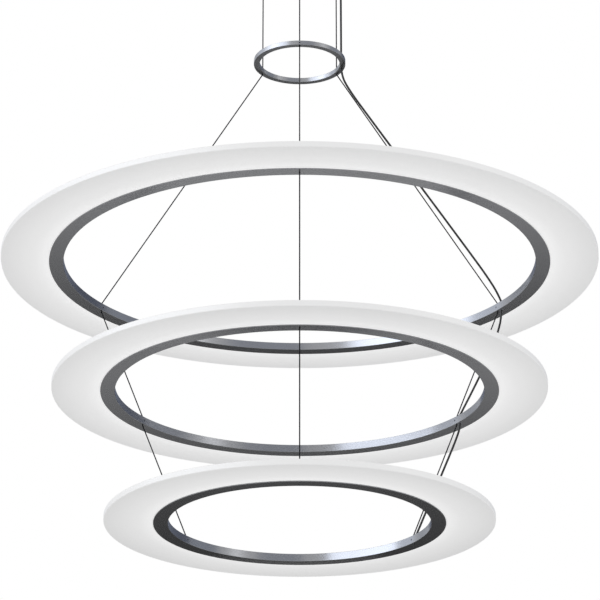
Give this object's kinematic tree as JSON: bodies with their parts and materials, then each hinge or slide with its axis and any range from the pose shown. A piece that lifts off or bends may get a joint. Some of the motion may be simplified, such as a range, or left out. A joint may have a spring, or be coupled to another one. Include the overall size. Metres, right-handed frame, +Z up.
{
  "type": "led ring chandelier",
  "caption": "Ceiling chandelier of lit rings in falling size, hung level one below the other from a canopy on steel ropes, with a power cord beside one rope.",
  "frame": {"origin": "centre of the ceiling face of the bracket", "axes": "+Z up into the ceiling, normal to the ceiling face; +X along the bracket, towards the side of the power cord; -Y towards the front rope"},
  "size_m": [1.0998, 1.1, 1.1557],
  "materials": {
    "anodised_hoop": "satin",
    "opal_acrylic": "satin",
    "led_tape": "matte",
    "clamp_aluminium": "milled",
    "screw_steel": "satin",
    "black_nylon": "matte",
    "canopy_steel": "brushed",
    "zinc_plate": "zinc plated",
    "brass_screw": "satin",
    "driver_shell": "matte",
    "foam_pad": "matte",
    "terminal_plastic": "matte",
    "nickel_gripper": "nickel plated",
    "ball_steel": "polished",
    "spring_steel": "bright",
    "rope_steel": "stranded",
    "cord_pvc": "matte"
  },
  "bodies": {
    "canopy": {"canopy_cover": "canopy_steel", "ceiling_bracket": "zinc_plate", "canopy_side_screws": "screw_steel", "earth_screw": "brass_screw", "driver_pads": "foam_pad", "led_driver": "driver_shell", "terminal_block": "terminal_plastic", "gripper_bodies": "nickel_gripper", "gripper_nuts": "nickel_gripper", "cord_gland": "black_nylon", "gland_nut": "black_nylon", "driver_output_lead": "cord_pvc", "gripper_spring_front": "spring_steel", "gripper_spring_right": "spring_steel", "gripper_spring_left": "spring_steel", "rope_front_canopy_to_spreader": "rope_steel", "rope_right_canopy_to_spreader": "rope_steel", "rope_left_canopy_to_spreader": "rope_steel", "cord_canopy_to_spreader": "cord_pvc"},
    "plunger_front": {"gripper_plunger_front": "nickel_gripper", "gripper_balls_front": "ball_steel"},
    "plunger_right": {"gripper_plunger_right": "nickel_gripper", "gripper_balls_right": "ball_steel"},
    "plunger_left": {"gripper_plunger_left": "nickel_gripper", "gripper_balls_left": "ball_steel"},
    "spreader": {"spreader_ring": "anodised_hoop", "spreader_grub_screws": "screw_steel", "rope_front_spreader_to_large": "rope_steel", "rope_right_spreader_to_large": "rope_steel", "rope_left_spreader_to_large": "rope_steel", "cord_spreader_to_large": "cord_pvc"},
    "large_ring": {"large_hoop": "anodised_hoop", "large_diffuser": "opal_acrylic", "large_led_tape": "led_tape", "large_clamp_blocks": "clamp_aluminium", "large_grub_screws": "screw_steel", "large_cord_bushes": "black_nylon", "rope_front_large_to_medium": "rope_steel", "rope_right_large_to_medium": "rope_steel", "rope_left_large_to_medium": "rope_steel", "cord_large_to_medium": "cord_pvc"},
    "medium_ring": {"medium_hoop": "anodised_hoop", "medium_diffuser": "opal_acrylic", "medium_led_tape": "led_tape", "medium_clamp_blocks": "clamp_aluminium", "medium_grub_screws": "screw_steel", "medium_cord_bushes": "black_nylon", "rope_front_medium_to_small": "rope_steel", "rope_right_medium_to_small": "rope_steel", "rope_left_medium_to_small": "rope_steel", "cord_medium_to_small": "cord_pvc"},
    "small_ring": {"small_hoop": "anodised_hoop", "small_diffuser": "opal_acrylic", "small_led_tape": "led_tape", "small_clamp_blocks": "clamp_aluminium", "small_grub_screws": "screw_steel", "small_cord_bushes": "black_nylon", "rope_end_stops": "screw_steel"}
  },
  "joints": [
    {"name": "height_slide", "type": "slide", "parent": "canopy", "child": "spreader", "axis": [0, 0, 1], "range_m": [-1, 0.1], "deforming": ["rope_front_canopy_to_spreader", "rope_right_canopy_to_spreader", "rope_left_canopy_to_spreader", "cord_canopy_to_spreader"]},
    {"name": "large_ring_slide", "type": "slide", "parent": "spreader", "child": "large_ring", "axis": [0, 0, 1], "range_m": [0, 0.2], "deforming": ["rope_front_spreader_to_large", "rope_right_spreader_to_large", "rope_left_spreader_to_large", "cord_spreader_to_large"]},
    {"name": "medium_ring_slide", "type": "slide", "parent": "large_ring", "child": "medium_ring", "axis": [0, 0, 1], "range_m": [0, 0.15], "deforming": ["rope_front_large_to_medium", "rope_right_large_to_medium", "rope_left_large_to_medium", "cord_large_to_medium"]},
    {"name": "small_ring_slide", "type": "slide", "parent": "medium_ring", "child": "small_ring", "axis": [0, 0, 1], "range_m": [0, 0.15], "deforming": ["rope_front_medium_to_small", "rope_right_medium_to_small", "rope_left_medium_to_small", "cord_medium_to_small"]},
    {"name": "gripper_release_front", "type": "slide", "parent": "canopy", "child": "plunger_front", "axis": [0, 0, 1], "range_m": [0, 0.0025], "stiffness_N_per_m": 250, "springref_m": -0.008, "deforming": ["gripper_spring_front"]},
    {"name": "gripper_release_right", "type": "slide", "parent": "canopy", "child": "plunger_right", "axis": [0, 0, 1], "range_m": [0, 0.0025], "stiffness_N_per_m": 250, "springref_m": -0.008, "deforming": ["gripper_spring_right"]},
    {"name": "gripper_release_left", "type": "slide", "parent": "canopy", "child": "plunger_left", "axis": [0, 0, 1], "range_m": [0, 0.0025], "stiffness_N_per_m": 250, "springref_m": -0.008, "deforming": ["gripper_spring_left"]}
  ]
}
